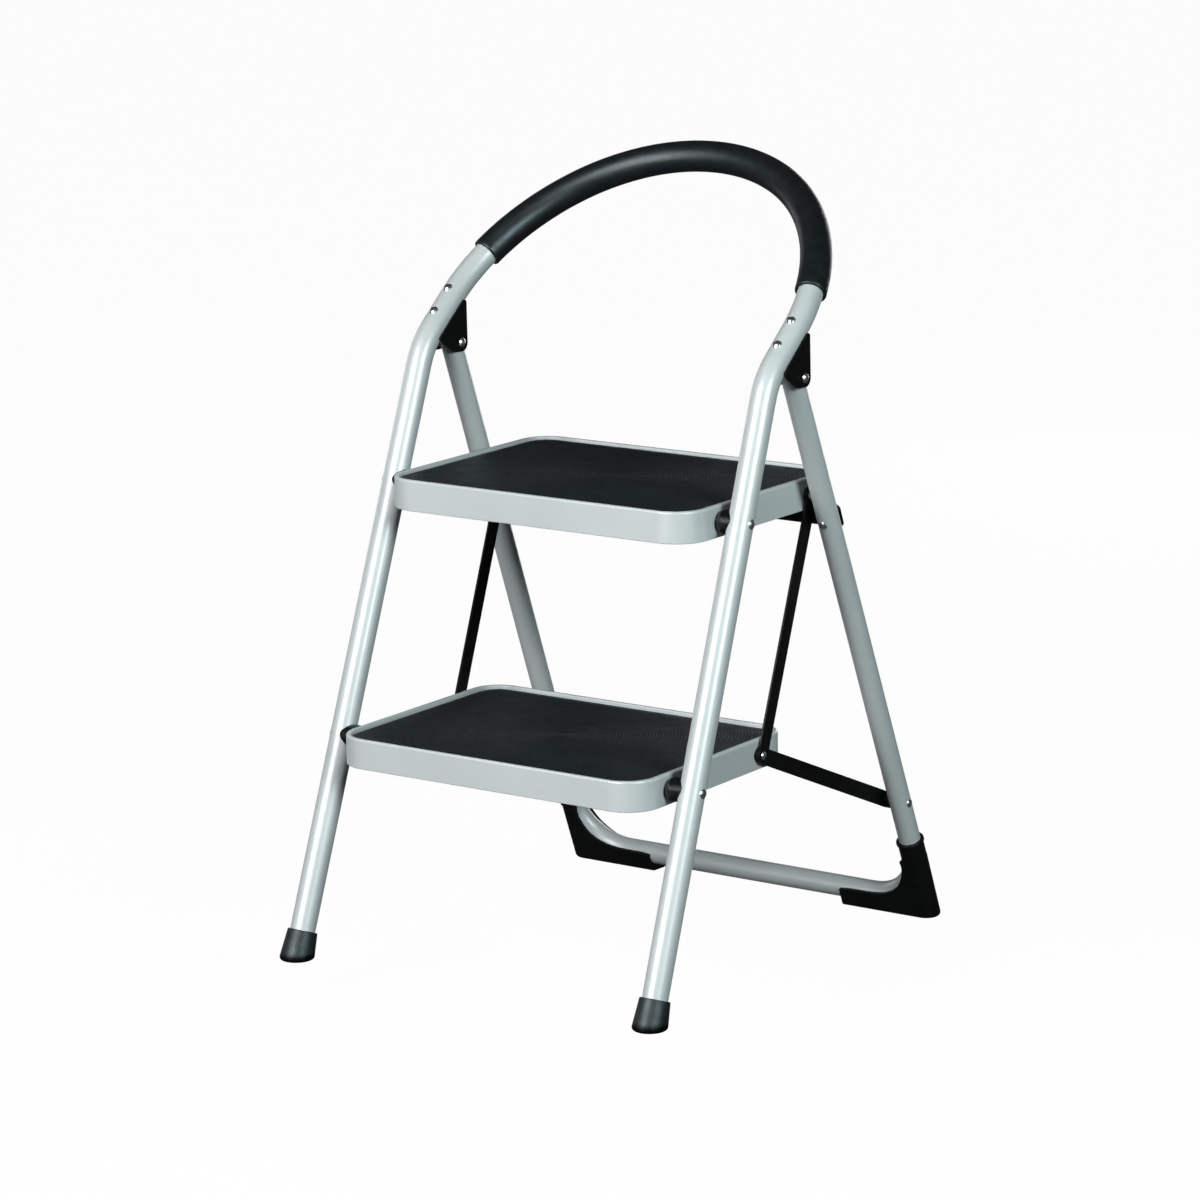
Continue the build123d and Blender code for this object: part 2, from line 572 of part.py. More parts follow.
# edge view of the strut: flat at both eyes and set outwards between them
k0, k1 = 22.0, sl - 15.0
side = [(-12, STRUT_X0), (k0, STRUT_X0), (k1, STRUT_X0 + STRUT_SET), (sl + 12, STRUT_X0 + STRUT_SET),
        (sl + 12, STRUT_X1 + STRUT_SET), (k1, STRUT_X1 + STRUT_SET), (k0, STRUT_X1), (-12, STRUT_X1)]
sf = make_face(Plane.XY * Polyline(*[(u, -x) for u, x in side], close=True))
sp0 = Plane(origin=Vector(0, *C2) - sn * 12, x_dir=(sd.X, sd.Y, sd.Z), z_dir=(sn.X, sn.Y, sn.Z))
strut &= extrude(sp0 * sf, 24.0)
put("strut_right", strut)
put("strut_left", mirror_x(strut))

# spacers and rivets of the link pivots
def link_fixings(name, hw, c, head_x):
    x1 = LINK_X0 - 0.2
    sp = x_cyl(EYE_R, hw + 0.02, x1, *c) - x_cyl(LINK_PIN_R + 0.03, hw - 5, x1 + 5, *c)
    p = Vector(head_x, *c)
    inner = hw - SHEET - 0.02
    rv = place(dome_rivet(LINK_PIN_R, 4.2, 1.9, 0.0, head_x - inner, 5.6, 2.0), p, (1, 0, 0))
    put(name + "_link_spacers", mirror_x(sp), sp)
    put(name + "_link_rivets", mirror_x(rv), rv)


link_fixings("upper", UPPER_HW, C1, LINK_X1 + 0.3)
link_fixings("lower", LOWER_HW, C2, STRUT_X1 + 0.3)

# strut ends on the rear legs: spacer and rivet ride on the leg, the short
# rivet that closes the strut's eye rides on the strut
xl = rx(STRUT_Z)
xs = STRUT_X1 + STRUT_SET + 0.5
spc = x_cyl(EYE_R, xs, xl, *DP)
spc -= place(Pos(0, 0, 0) * Cylinder(REAR_D / 2 + 0.02, 400), rpt(1, STRUT_Z), rdir)
spc -= x_cyl(LINK_PIN_R + 0.03, xs - 5, xl + 5, *DP)
spc = max(spc.solids(), key=lambda q: q.volume)
put("strut_spacers", mirror_x(spc), spc)
p = Vector(xl + REAR_D / 2, *DP)
rv = place(dome_rivet(LINK_PIN_R, 4.3, 1.9, 1.2, p.X - xs, 0, 0), p, (1, 0, 0)) - rear_tube
put("strut_leg_rivets", mirror_x(rv), rv)
p = Vector(STRUT_X0 + STRUT_SET, *DP)
rv = place(dome_rivet(LINK_PIN_R, 5.6, 2.0, 0.0, STRUT_X1 - STRUT_X0, 0, 0), p, (-1, 0, 0))
put("strut_end_rivet_left", mirror_x(rv))
put("strut_end_rivet_right", rv)

# nylon washers between the rear legs and the bracket cheeks
ws = []
for s in (-1, 1):
    for k in (-1, 1):
        gap0 = HINGE_X + k * (REAR_D / 2)
        gap1 = FRONT_X1 + k * BRACKET_IN
        lo, hi = sorted((s * gap0, s * gap1))
        w = x_cyl(7.0, lo - 2.5, hi + 2.5, HINGE_Y, HINGE_Z)
        w -= x_cyl(PIN_R + 0.03, lo - 9, hi + 9, HINGE_Y, HINGE_Z)
        xa, xb = sorted((s * (HINGE_X + k * (REAR_D / 2 + 0.35)), s * (gap1 - k * 0.02)))
        w &= Pos((xa + xb) / 2, HINGE_Y, HINGE_Z) * Box(xb - xa, 60, 60)
        ws.append(w)
put("hinge_washers", *ws)

# --------------------------------------------------------------------------- write
lo, hi = Vector(1e9, 1e9, 1e9), Vector(-1e9, -1e9, -1e9)
for name, sols in OUT.items():
    sols = [s.moved(Location((0, -Y_SHIFT, 0))) for s in sols]
    shape = sols[0] if len(sols) == 1 else Compound(children=sols)
    shape.label = name
    bb = shape.bounding_box()
    lo = Vector(min(lo.X, bb.min.X), min(lo.Y, bb.min.Y), min(lo.Z, bb.min.Z))
    hi = Vector(max(hi.X, bb.max.X), max(hi.Y, bb.max.Y), max(hi.Z, bb.max.Z))
    export_step(shape, os.path.join("parts", name + ".step"))
print("box", lo, hi, "y centre", (lo.Y + hi.Y) / 2)
print("C1", C1, "C2", C2, "D", DP, "H", (HINGE_Y, HINGE_Z), "A1", (UPPER_Y, UPPER_Z), "A2", (LOWER_Y, LOWER_Z))
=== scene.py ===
import json
import math

import bmesh
import bpy
import numpy as np
from mathutils import Matrix, Vector, noise


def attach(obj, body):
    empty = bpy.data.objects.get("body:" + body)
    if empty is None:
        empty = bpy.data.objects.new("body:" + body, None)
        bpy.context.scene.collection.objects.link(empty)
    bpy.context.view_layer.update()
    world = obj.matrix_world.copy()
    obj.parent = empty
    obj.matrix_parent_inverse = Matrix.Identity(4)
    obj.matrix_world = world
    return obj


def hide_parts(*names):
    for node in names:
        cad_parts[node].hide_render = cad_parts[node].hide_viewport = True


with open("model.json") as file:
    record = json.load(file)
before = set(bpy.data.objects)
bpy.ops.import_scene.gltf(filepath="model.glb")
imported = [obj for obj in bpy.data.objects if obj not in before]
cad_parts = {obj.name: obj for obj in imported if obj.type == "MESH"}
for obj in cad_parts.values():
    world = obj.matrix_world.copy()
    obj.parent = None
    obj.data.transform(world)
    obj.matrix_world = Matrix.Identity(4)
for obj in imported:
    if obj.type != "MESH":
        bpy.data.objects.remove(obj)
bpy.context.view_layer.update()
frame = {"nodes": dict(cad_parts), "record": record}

nodes = frame["nodes"]
scene = bpy.context.scene
coll = scene.collection

# ---------------------------------------------------------------------------
# Shared dimensions, metres, in the part's own frame (y = 0 is the middle of
# the overall box; the drawing's y = 0 is where the front legs meet the floor).
# ---------------------------------------------------------------------------
YS = 0.244967
MM = 0.001


def P(x, y, z):
    return Vector((x * MM, y * MM - YS, z * MM))


# ---------------------------------------------------------------------------
# Material helpers
# ---------------------------------------------------------------------------
class Mat:
    def __init__(self, name):
        self.m = bpy.data.materials.new(name)
        self.m.use_nodes = True
        self.t = self.m.node_tree
        self.t.nodes.clear()
        self.out = self.t.nodes.new("ShaderNodeOutputMaterial")
        self.b = self.t.nodes.new("ShaderNodeBsdfPrincipled")
        self.t.links.new(self.b.outputs["BSDF"], self.out.inputs["Surface"])
        self.co = self.t.nodes.new("ShaderNodeTexCoord")

    def node(self, kind, **inputs):
        n = self.t.nodes.new(kind)
        for k, v in inputs.items():
            self.set(n, k, v)
        return n

    def set(self, n, key, v):
        if key in n.inputs:
            s = n.inputs[key]
            if hasattr(v, "is_output"):
                self.t.links.new(v, s)
            else:
                s.default_value = v
        else:
            setattr(n, key, v)

    def link(self, a, b):
        self.t.links.new(a, b)

    @property
    def obj(self):
        return self.co.outputs["Object"]

    def noise(self, scale, detail=2.0, rough=0.5, vec=None, dist=0.0):
        n = self.node("ShaderNodeTexNoise", Scale=scale, Detail=detail, Roughness=rough, Distortion=dist)
        self.link(vec or self.obj, n.inputs["Vector"])
        return n.outputs["Fac"]

    def voronoi(self, scale, vec=None, feature="F1", rand=1.0):
        n = self.node("ShaderNodeTexVoronoi", Scale=scale, Randomness=rand)
        n.feature = feature
        self.link(vec or self.obj, n.inputs["Vector"])
        return n.outputs["Distance"]

    def ramp(self, fac, *stops):
        n = self.t.nodes.new("ShaderNodeValToRGB")
        self.link(fac, n.inputs["Fac"])
        e = n.color_ramp.elements
        while len(e) < len(stops):
            e.new(0.5)
        for el, (p, c) in zip(e, stops):
            el.position = p
            el.color = (*c, 1.0) if not isinstance(c, (int, float)) else (c, c, c, 1.0)
        return n.outputs["Color"]

    def maprange(self, v, a, b, c, d):
        n = self.node("ShaderNodeMapRange")
        for k, q in zip(("From Min", "From Max", "To Min", "To Max"), (a, b, c, d)):
            n.inputs[k].default_value = q
        self.link(v, n.inputs["Value"])
        return n.outputs["Result"]

    def math(self, op, a, b=None):
        n = self.t.nodes.new("ShaderNodeMath")
        n.operation = op
        for s, v in zip(n.inputs, (a, b)):
            if v is None:
                continue
            if hasattr(v, "is_output"):
                self.link(v, s)
            else:
                s.default_value = v
        return n.outputs[0]

    def mix(self, fac, a, b):
        n = self.t.nodes.new("ShaderNodeMix")
        n.data_type = "RGBA"
        for s, v in ((n.inputs[0], fac), (n.inputs[6], a), (n.inputs[7], b)):
            if hasattr(v, "is_output"):
                self.link(v, s)
            elif isinstance(v, (int, float)):
                s.default_value = v
            else:
                s.default_value = (*v, 1.0)
        return n.outputs[2]

    def bump(self, height, strength, dist, normal=None):
        n = self.t.nodes.new("ShaderNodeBump")
        n.inputs["Strength"].default_value = strength
        n.inputs["Distance"].default_value = dist
        self.link(height, n.inputs["Height"])
        if normal is not None:
            self.link(normal, n.inputs["Normal"])
        return n.outputs["Normal"]

    def edge(self, radius):
        """0 on flats, towards 1 along convex and concave edges."""
        bv = self.t.nodes.new("ShaderNodeBevel")
        bv.samples = 4
        bv.inputs["Radius"].default_value = radius
        g = self.t.nodes.new("ShaderNodeNewGeometry")
        d = self.t.nodes.new("ShaderNodeVectorMath")
        d.operation = "DOT_PRODUCT"
        self.link(bv.outputs["Normal"], d.inputs[0])
        self.link(g.outputs["Normal"], d.inputs[1])
        return self.maprange(d.outputs["Value"], 0.985, 0.80, 0.0, 1.0)


def paint():
    """Silver grey powder coat: fine orange peel, faint flake, darker rubbed patches, brighter worn edges."""
    k = Mat("silver_powder_coat")
    big = k.noise(6.0, 3.0, 0.55)
    flake = k.voronoi(2600.0)
    col = k.mix(k.maprange(big, 0.3, 0.7, 0.0, 1.0), (0.430, 0.464, 0.468), (0.476, 0.508, 0.512))
    col = k.mix(k.maprange(flake, 0.05, 0.42, 0.14, 0.0), col, (0.70, 0.72, 0.72))
    scuff = k.math("MULTIPLY", k.maprange(k.noise(34.0, 6.0, 0.7), 0.60, 0.78, 0.0, 1.0), 0.12)
    col = k.mix(scuff, col, (0.33, 0.35, 0.352))
    wear = k.math("MULTIPLY", k.edge(0.0010), k.maprange(k.noise(160.0, 4.0, 0.6), 0.46, 0.64, 0.0, 0.45))
    col = k.mix(wear, col, (0.66, 0.67, 0.67))
    k.link(col, k.b.inputs["Base Color"])
    k.b.inputs["Metallic"].default_value = 0.16
    r = k.maprange(k.noise(90.0, 3.0, 0.6), 0.25, 0.75, 0.33, 0.42)
    k.link(r, k.b.inputs["Roughness"])
    k.b.inputs["Coat Weight"].default_value = 0.07
    k.b.inputs["Coat Roughness"].default_value = 0.24
    peel = k.bump(k.noise(520.0, 2.0, 0.5), 0.10, 0.0006)
    k.link(k.bump(k.noise(130.0, 2.0, 0.5), 0.06, 0.0010, peel), k.b.inputs["Normal"])
    return k.m


def black_paint():
    """Black satin enamel on flat steel, a little chipped along the edges."""
    k = Mat("black_enamel")
    col = k.mix(k.maprange(k.noise(14.0, 4.0), 0.3, 0.7, 0.0, 1.0), (0.0018, 0.0019, 0.0020), (0.0040, 0.0041, 0.0043))
    chip = k.math("MULTIPLY", k.edge(0.0005), k.maprange(k.noise(420.0, 3.0), 0.54, 0.68, 0.0, 0.35))
    col = k.mix(chip, col, (0.10, 0.10, 0.10))
    k.link(col, k.b.inputs["Base Color"])
    k.link(k.maprange(k.noise(120.0, 3.0), 0.3, 0.7, 0.34, 0.46), k.b.inputs["Roughness"])
    k.b.inputs["Specular IOR Level"].default_value = 0.20
    k.link(k.bump(k.noise(800.0, 2.0), 0.12, 0.0005), k.b.inputs["Normal"])
    return k.m


def black_moulded():
    """Black moulded plastic, fine spark-eroded grain, edges rubbed a little paler."""
    k = Mat("black_moulded")
    col = k.mix(k.maprange(k.noise(30.0, 4.0), 0.3, 0.7, 0.0, 1.0), (0.0016, 0.0017, 0.0018), (0.0036, 0.0038, 0.0039))
    rub = k.math("MULTIPLY", k.edge(0.0012), k.maprange(k.noise(220.0, 4.0), 0.42, 0.62, 0.05, 0.40))
    col = k.mix(rub, col, (0.022, 0.023, 0.024))
    k.link(col, k.b.inputs["Base Color"])
    k.link(k.maprange(k.noise(150.0, 3.0), 0.3, 0.7, 0.42, 0.54), k.b.inputs["Roughness"])
    k.b.inputs["Specular IOR Level"].default_value = 0.22
    k.link(k.bump(k.voronoi(1500.0), 0.20, 0.0004), k.b.inputs["Normal"])
    return k.m


def bush_rubber():
    """Smooth black bushes between legs and treads: glossy, faintly streaked."""
    k = Mat("bush_rubber")
    col = k.mix(k.maprange(k.noise(40.0, 4.0), 0.3, 0.7, 0.0, 1.0), (0.0020, 0.0024, 0.0026), (0.0046, 0.0052, 0.0056))
    k.link(col, k.b.inputs["Base Color"])
    k.link(k.maprange(k.noise(170.0, 3.0), 0.3, 0.7, 0.20, 0.30), k.b.inputs["Roughness"])
    k.b.inputs["Specular IOR Level"].default_value = 0.48
    k.link(k.bump(k.noise(600.0, 3.0), 0.10, 0.0004), k.b.inputs["Normal"])
    return k.m


def foot_rubber():
    """Black rubber of the front feet: soft broad sheen, scuffed grain, and a painted shade band: near black colour
    with faded specular along the bottom of the sole, standing in for the shade on its downward-facing rounded edge.
    """
    k = Mat("foot_rubber")
    col = k.mix(k.maprange(k.noise(60.0, 5.0, 0.6), 0.3, 0.7, 0.0, 1.0), (0.0034, 0.0045, 0.0049), (0.0078, 0.0098, 0.0105))
    dust = k.math("MULTIPLY", k.maprange(k.noise(180.0, 5.0, 0.65), 0.52, 0.74, 0.0, 1.0), 0.40)
    col = k.mix(dust, col, (0.034, 0.042, 0.045))
    z = k.t.nodes.new("ShaderNodeSeparateXYZ")
    k.link(k.obj, z.inputs[0])
    # painted shade: below about 5 to 9.5 mm height, with a ragged top edge, the colour goes near black and the
    # specular fades, as shade on the sole's underside edge
    sole_shade_height = k.math("ADD", z.outputs[2], k.maprange(k.noise(90.0, 3.0), 0.3, 0.7, -0.0006, 0.0006))
    col = k.mix(k.maprange(sole_shade_height, 0.0050, 0.0095, 0.95, 0.0), col, (0.0012, 0.0013, 0.0014))
    k.link(col, k.b.inputs["Base Color"])
    k.link(k.maprange(k.noise(150.0, 3.0), 0.3, 0.7, 0.42, 0.54), k.b.inputs["Roughness"])
    k.link(k.maprange(sole_shade_height, 0.0050, 0.0095, 0.05, 0.62), k.b.inputs["Specular IOR Level"])
    k.b.inputs["Specular Tint"].default_value = (0.82, 0.97, 1.0, 1.0)
    n1 = k.bump(k.voronoi(1100.0), 0.25, 0.0005)
    k.link(k.bump(k.noise(240.0, 4.0), 0.20, 0.0008, n1), k.b.inputs["Normal"])
    return k.m


def zinc():
    """Bright zinc rivets, faint turning marks."""
    k = Mat("zinc_rivet")
    col = k.mix(k.maprange(k.noise(300.0, 3.0), 0.3, 0.7, 0.0, 1.0), (0.74, 0.75, 0.76), (0.88, 0.89, 0.90))
    k.link(col, k.b.inputs["Base Color"])
    k.b.inputs["Metallic"].default_value = 1.0
    k.link(k.maprange(k.noise(900.0, 2.0), 0.3, 0.7, 0.20, 0.34), k.b.inputs["Roughness"])
    k.link(k.bump(k.noise(1400.0, 2.0), 0.10, 0.0003), k.b.inputs["Normal"])
    return k.m


def nylon():
    """Natural nylon, slightly waxy, faintly mottled."""
    k = Mat("nylon_washer")
    col = k.mix(k.maprange(k.noise(200.0, 3.0), 0.3, 0.7, 0.0, 1.0), (0.50, 0.50, 0.47), (0.62, 0.62, 0.59))
    k.link(col, k.b.inputs["Base Color"])
    k.link(k.maprange(k.noise(300.0, 2.0), 0.3, 0.7, 0.42, 0.55), k.b.inputs["Roughness"])
    k.link(k.bump(k.noise(900.0, 2.0), 0.10, 0.0003), k.b.inputs["Normal"])
    return k.m


def rubber():
    """Black tread rubber with a fine stipple between its ridges."""
    k = Mat("tread_rubber")
    col = k.mix(k.maprange(k.noise(16.0, 5.0, 0.6), 0.3, 0.7, 0.0, 1.0), (0.0058, 0.0074, 0.0090), (0.0100, 0.0126, 0.0150))
    dust = k.math("MULTIPLY", k.maprange(k.noise(420.0, 5.0, 0.7), 0.55, 0.75, 0.0, 1.0), 0.30)
    col = k.mix(dust, col, (0.030, 0.032, 0.034))
    k.link(col, k.b.inputs["Base Color"])
    k.link(k.maprange(k.noise(60.0, 4.0), 0.3, 0.7, 0.44, 0.58), k.b.inputs["Roughness"])
    k.b.inputs["Specular IOR Level"].default_value = 0.35
    k.b.inputs["Specular Tint"].default_value = (0.82, 0.96, 1.0, 1.0)
    k.link(k.bump(k.voronoi(1000.0), 0.25, 0.0004), k.b.inputs["Normal"])
    return k.m


def foam():
    """Black closed-cell foam, soft sheen, fine pores."""
    k = Mat("grip_foam")
    col = k.mix(k.maprange(k.noise(45.0, 5.0, 0.6), 0.3, 0.7, 0.0, 1.0), (0.0026, 0.0034, 0.0042), (0.0052, 0.0064, 0.0076))
    k.link(col, k.b.inputs["Base Color"])
    k.link(k.maprange(k.noise(80.0, 4.0), 0.3, 0.7, 0.36, 0.46), k.b.inputs["Roughness"])
    k.b.inputs["Specular IOR Level"].default_value = 0.60
    k.b.inputs["Specular Tint"].default_value = (0.80, 0.94, 1.0, 1.0)
    pore = k.voronoi(1100.0)
    n1 = k.bump(pore, 0.20, 0.0005)
    k.link(k.bump(k.noise(140.0, 3.0), 0.15, 0.0012, n1), k.b.inputs["Normal"])
    return k.m


M = {
    "frame_paint": paint(), "black_steel": black_paint(), "black_moulded": black_moulded(),
    "rivet_steel": zinc(), "washer_nylon": nylon(), "tread_rubber": rubber(), "grip_foam": foam(),
}


foot_rubber_m = foot_rubber()
bush_rubber_m = bush_rubber()


def give(obj, m):
    obj.data.materials.clear()
    obj.data.materials.append(m)


for sp in frame["record"]["subparts"]:
    if sp["node"] in nodes:
        give(nodes[sp["node"]], M[sp["material_slot"]])

for n in ("front_foot_left", "front_foot_right"):
    give(nodes[n], foot_rubber_m)
for n in ("upper_step_spacers", "lower_step_spacers"):
    give(nodes[n], bush_rubber_m)


# ---------------------------------------------------------------------------
# Meshes
# ---------------------------------------------------------------------------
def new_piece(name, verts, faces, mat, smooth_angle=None):
    me = bpy.data.meshes.new(name)
    me.from_pydata([tuple(v) for v in verts], [], faces)
    me.validate()
    bm = bmesh.new()
    bm.from_mesh(me)
    bmesh.ops.recalc_face_normals(bm, faces=bm.faces)
    bm.to_mesh(me)
    bm.free()
    me.polygons.foreach_set("use_smooth", [True] * len(me.polygons))
    o = bpy.data.objects.new(name, me)
    coll.objects.link(o)
    if smooth_angle is not None:
        me.set_sharp_from_angle(angle=math.radians(smooth_angle))
    o.data.materials.append(mat)
    return o


# Tread mats: moulded rubber with fine concentric ridges, a plain border and rounded edges.
TILT = math.radians(1.5)
RIDGE_PITCH, RIDGE_DEPTH = 3.2, 0.42


def outline(hw, uf, ur, rf, rr, inset, count=24000):
    """Polar radius of a rounded rectangle, inset, about the middle of the mat."""
    hw, uf, ur, rf, rr = hw - inset, uf + inset, ur - inset, rf - inset, rr - inset
    pts = []
    for cx, cu, r, a0 in ((hw - rr, ur - rr, rr, 0), (-hw + rr, ur - rr, rr, 90), (-hw + rf, uf + rf, rf, 180), (hw - rf, uf + rf, rf, 270)):
        for i in range(121):
            a = math.radians(a0 + 90 * i / 120)
            pts.append((cx + r * math.cos(a), cu + r * math.sin(a)))
    pts.append(pts[0])
    pts = np.array(pts)
    seg = np.linalg.norm(np.diff(pts, axis=0), axis=1)
    s = np.concatenate([[0], np.cumsum(seg)])
    t = np.linspace(0, s[-1], count)
    return np.stack([np.interp(t, s, pts[:, 0]), np.interp(t, s, pts[:, 1])], 1)


def tread_mat(name, node, body, py, pz, u0, u1, floor):
    hw, uf, ur, rf, rr = 174.5, u0 + 4.1, u1 - 5.7, 28.5, 22.5
    uc = (uf + ur) / 2
    w_top, w_low = floor + 2.4, floor + 0.04
    angles = np.linspace(0, 2 * math.pi, 360, endpoint=False)

    def radius(inset):
        p = outline(hw, uf, ur, rf, rr, inset)
        a = np.arctan2(p[:, 1] - uc, p[:, 0]) % (2 * math.pi)
        r = np.hypot(p[:, 1] - uc, p[:, 0])
        k = np.argsort(a)
        return np.interp(angles, a[k], r[k], period=2 * math.pi)

    dr = RIDGE_PITCH / 4
    border = radius(4.0)
    verts, faces = [], []

    def add(x, u, w):
        u = u + uc
        verts.append(P(x, py + u * math.cos(TILT) - w * math.sin(TILT), pz + u * math.sin(TILT) + w * math.cos(TILT)))
        return len(verts) - 1

    centre = add(0, 0, w_top)
    first = 8
    cols = []
    for a, rb in zip(angles, border):
        ca, sa = math.cos(a), math.sin(a)
        col = []
        i = first
        while i * dr < rb - 0.5:
            r = i * dr
            fade = min(1.0, (rb - r) / 2.0)
            h = -RIDGE_DEPTH * fade * (0.5 - 0.5 * math.cos(2 * math.pi * (i - first) / 4))
            col.append((r, add(r * ca, r * sa, w_top + h)))
            i += 1
        col.append((rb, add(rb * ca, rb * sa, w_top)))
        cols.append(col)
    n = len(angles)
    for j in range(n):
        a, b = cols[j], cols[(j + 1) % n]
        faces.append((centre, a[0][1], b[0][1]))
        i = k = 0
        while i < len(a) - 1 or k < len(b) - 1:
            last_a, last_b = i == len(a) - 2, k == len(b) - 2
            if i < len(a) - 1 and k < len(b) - 1 and abs(a[i + 1][0] - b[k + 1][0]) < dr * 0.9 and not (last_a ^ last_b):
                faces.append((a[i][1], a[i + 1][1], b[k + 1][1], b[k][1]))
                i += 1
                k += 1
            elif k == len(b) - 1 or (i < len(a) - 1 and a[i + 1][0] <= b[k + 1][0]):
                faces.append((a[i][1], a[i + 1][1], b[k][1]))
                i += 1
            else:
                faces.append((a[i][1], b[k + 1][1], b[k][1]))
                k += 1
    # border, rounded edge, side and underside
    ring = [c[-1][1] for c in cols]
    prof = [(0.9, 0.0), (0.62, -0.06), (0.30, -0.22), (0.08, -0.50), (0.0, -0.85), (0.0, w_low - w_top)]
    for inset, dw in prof:
        rr_ = radius(inset)
        nxt = [add(r * math.cos(a), r * math.sin(a), w_top + dw) for a, r in zip(angles, rr_)]
        for j in range(n):
            q = (j + 1) % n
            faces.append((ring[j], nxt[j], nxt[q], ring[q]))
        ring = nxt
    faces.append(tuple(reversed(ring)))
    o = new_piece(name, verts, faces, M["tread_rubber"], 50)
    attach(o, body)
    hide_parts(node)
    return o


tread_mat("upper_tread_mat", "upper_step_mat", "upper_step", 156.975, 455.0, -54.0, 210.0, 9.7)
tread_mat("lower_tread_mat", "lower_step_mat", "lower_step", 73.3125, 212.5, -50.5, 209.0, 8.0)

# Foam sleeve on the hoop: swept round the arch, soft rolled ends, slightly uneven like cut foam.
H_LEAN = math.radians(49.1)
HSIN, HCOS = math.sin(H_LEAN), math.cos(H_LEAN)
BEND_Y, BEND_Z = 0.345 * 585.7, 585.7
RA, DA = 219.7, 219.7 - 203.1
RB, CB = RA - DA / math.cos(math.radians(45)), 61.7 + DA


def hoop(x, v):
    return Vector((x, BEND_Y + v * HSIN, BEND_Z + v * HCOS))


def grip_line(step=1.6):
    """Points of the sleeve's axis with their outward directions, right end first."""
    out = []

    def arc(cx, cv, r, a0, a1):
        m = max(2, int(abs(math.radians(a1 - a0)) * r / step))
        for i in range(m + 1):
            a = math.radians(a0 + (a1 - a0) * i / m)
            d = (math.cos(a), math.sin(a))
            out.append((hoop(cx + r * d[0], cv + r * d[1]), Vector((d[0], d[1] * HSIN, d[1] * HCOS))))

    arc(-DA, 61.7, RA, 12.7, 45)
    out.pop()
    arc(0, CB, RB, 45, 135)
    out.pop()
    arc(DA, 61.7, RA, 135, 180 - 16.3)
    return out


def foam_sleeve():
    line = grip_line()
    normal = Vector((0, -HCOS, HSIN))
    around = 72
    pts = [p for p, d in line]
    s = [0.0]
    for a, b in zip(pts, pts[1:]):
        s.append(s[-1] + (b - a).length)
    total = s[-1]

    def frame_at(t):
        i = min(max(int(np.searchsorted(s, t)) - 1, 0), len(s) - 2)
        f = (t - s[i]) / (s[i + 1] - s[i])
        return pts[i].lerp(pts[i + 1], f), line[i][1].lerp(line[i + 1][1], f).normalized()

    ro, ri, er = 15.6, 12.56, 1.9
    # profile along the sleeve: (distance, radius), rolled ends
    end = [(0.0, ri + 0.35), (0.0, ro - er - 0.25), (er * 0.08, ro - er * 0.62), (er * 0.29, ro - er * 0.29), (er * 0.62, ro - er * 0.08), (er, ro)]
    stations = list(end)
    m = int((total - 2 * er) / 2.0)
    for i in range(1, m):
        stations.append((er + (total - 2 * er) * i / m, ro))
    stations += [(total - t, r) for t, r in reversed(end)]
    inner = [(total - 0.35, ri), (total - 12.0, ri)]
    k = 24
    inner += [(total - 12.0 - (total - 24.0) * i / k, ri) for i in range(1, k)]
    inner += [(12.0, ri), (0.35, ri)]
    stations += inner
    verts, faces = [], []
    for idx, (t, r) in enumerate(stations):
        c, e = frame_at(t)
        outer = r > ri + 0.9
        for j in range(around):
            a = 2 * math.pi * j / around
            d = e * math.cos(a) + normal * math.sin(a)
            q = r
            if outer:
                g = c + d * r
                q += 0.10 * noise.noise(Vector(g) * 0.045) + 0.05 * noise.noise(Vector(g) * 0.16)
                q = min(q, 15.6)
            g = c + d * q
            verts.append(P(*g))
    n = len(stations)
    for i in range(n):
        i2 = (i + 1) % n
        for j in range(around):
            j2 = (j + 1) % around
            faces.append((i * around + j, i * around + j2, i2 * around + j2, i2 * around + j))
    o = new_piece("foam_grip", verts, faces, M["grip_foam"], 60)
    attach(o, "front_frame")
    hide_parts("handle_grip")
    return o


foam_sleeve()

# ---------------------------------------------------------------------------
# Stage: pale floor, soft studio light, camera
# ---------------------------------------------------------------------------
fm = Mat("studio_floor")
fm.link(fm.mix(fm.maprange(fm.noise(3.0, 4.0), 0.3, 0.7, 0.0, 1.0), (0.020, 0.020, 0.020), (0.023, 0.023, 0.023)), fm.b.inputs["Base Color"])
fm.b.inputs["Roughness"].default_value = 0.9
fm.b.inputs["Specular IOR Level"].default_value = 0.0
fm.b.inputs["Emission Color"].default_value = (1.0, 1.0, 1.0, 1.0)
fm.b.inputs["Emission Strength"].default_value = 0.970
me = bpy.data.meshes.new("floor")
bm = bmesh.new()
bmesh.ops.create_grid(bm, x_segments=4, y_segments=4, size=60.0)
bm.to_mesh(me)
bm.free()
floor = bpy.data.objects.new("floor", me)
coll.objects.link(floor)
# a little below the soles, because the rear feet swing 33 mm lower when the stool is folded
floor.location.z = -0.034
give(floor, fm.m)
floor.visible_diffuse = False
floor.visible_glossy = False

# pale backdrop all round, far behind the floor, so every viewing direction ends on the same tone
me = bpy.data.meshes.new("backdrop")
bm = bmesh.new()
ring = bmesh.ops.create_circle(bm, cap_ends=False, segments=96, radius=40.0)["verts"]
wall = bmesh.ops.extrude_edge_only(bm, edges=bm.edges[:])["geom"]
for v in wall:
    if isinstance(v, bmesh.types.BMVert):
        v.co.z = 40.0
for v in ring:
    v.co.z = -1.0
bm.to_mesh(me)
bm.free()
backdrop = bpy.data.objects.new("backdrop", me)
coll.objects.link(backdrop)
give(backdrop, fm.m)
backdrop.visible_diffuse = False
backdrop.visible_glossy = False
backdrop.visible_shadow = False

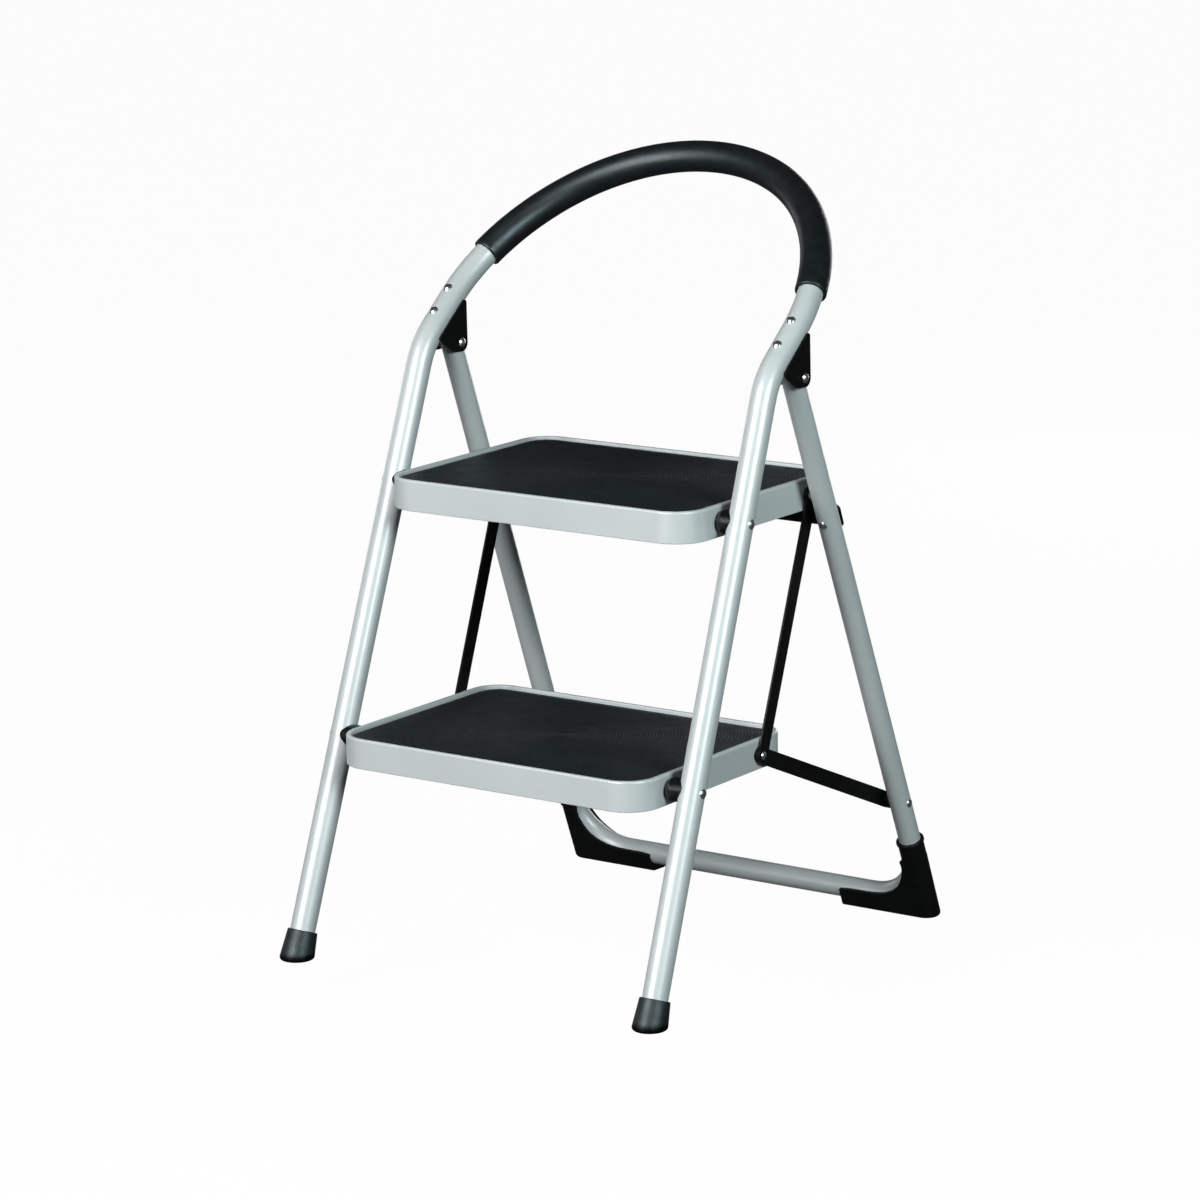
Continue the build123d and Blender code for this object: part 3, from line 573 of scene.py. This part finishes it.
world = bpy.data.worlds.new("studio")
scene.world = world
world.use_nodes = True
wt = world.node_tree
wt.nodes.clear()
wo = wt.nodes.new("ShaderNodeOutputWorld")
bg = wt.nodes.new("ShaderNodeBackground")
bg.inputs["Color"].default_value = (0.90, 1.0, 1.0, 1)
bg.inputs["Strength"].default_value = 0.045
wt.links.new(bg.outputs[0], wo.inputs[0])


def area(name, az, el, dist, size, power, target=(0, 0, 0.42), size_y=None, color=(1.0, 1.0, 1.0)):
    """Area light seen from the object at azimuth az (0 is straight in front, positive to the right) and elevation el."""
    a, e = math.radians(az), math.radians(el)
    d = Vector((math.sin(a) * math.cos(e), -math.cos(a) * math.cos(e), math.sin(e)))
    l = bpy.data.lights.new(name, "AREA")
    l.energy = power
    l.color = color
    l.size = size
    if size_y:
        l.shape = "RECTANGLE"
        l.size_y = size_y
    o = bpy.data.objects.new(name, l)
    coll.objects.link(o)
    t = Vector(target)
    o.location = t + d * dist
    o.rotation_euler = d.to_track_quat("Z", "Y").to_euler()
    o.visible_camera = False
    return o


area("key_front", -9, 21, 3.2, 1.7, 137, size_y=2.3)
area("side_right", 67, 20, 3.0, 0.8, 71, color=(0.88, 1.0, 1.0))
area("fill_back", 192, 6, 3.4, 1.2, 19, size_y=1.3)
area("fill_left", 255, 8, 3.4, 1.2, 9, size_y=1.3)

# camera fitted to the photo's view
AZ, EL, DIST = math.radians(35.203), math.radians(11.377), 4.595
back = Vector((math.sin(AZ) * math.cos(EL), -math.cos(AZ) * math.cos(EL), math.sin(EL)))
right = Vector((math.cos(AZ), math.sin(AZ), 0.0))
up = back.cross(right)
cam = bpy.data.cameras.new("camera")
cam.sensor_fit = "AUTO"
cam.sensor_width = 36.0
cam.lens = 4729.0 / 1200.0 * 36.0
cam.clip_end = 100.0
co = bpy.data.objects.new("camera", cam)
coll.objects.link(co)
rot = Matrix((right, up, back)).transposed()
co.matrix_world = Matrix.Translation(P(17.236, 193.447, 353.768) + back * DIST) @ rot.to_4x4()
scene.camera = co

scene.view_settings.view_transform = "Standard"
scene.view_settings.look = "None"
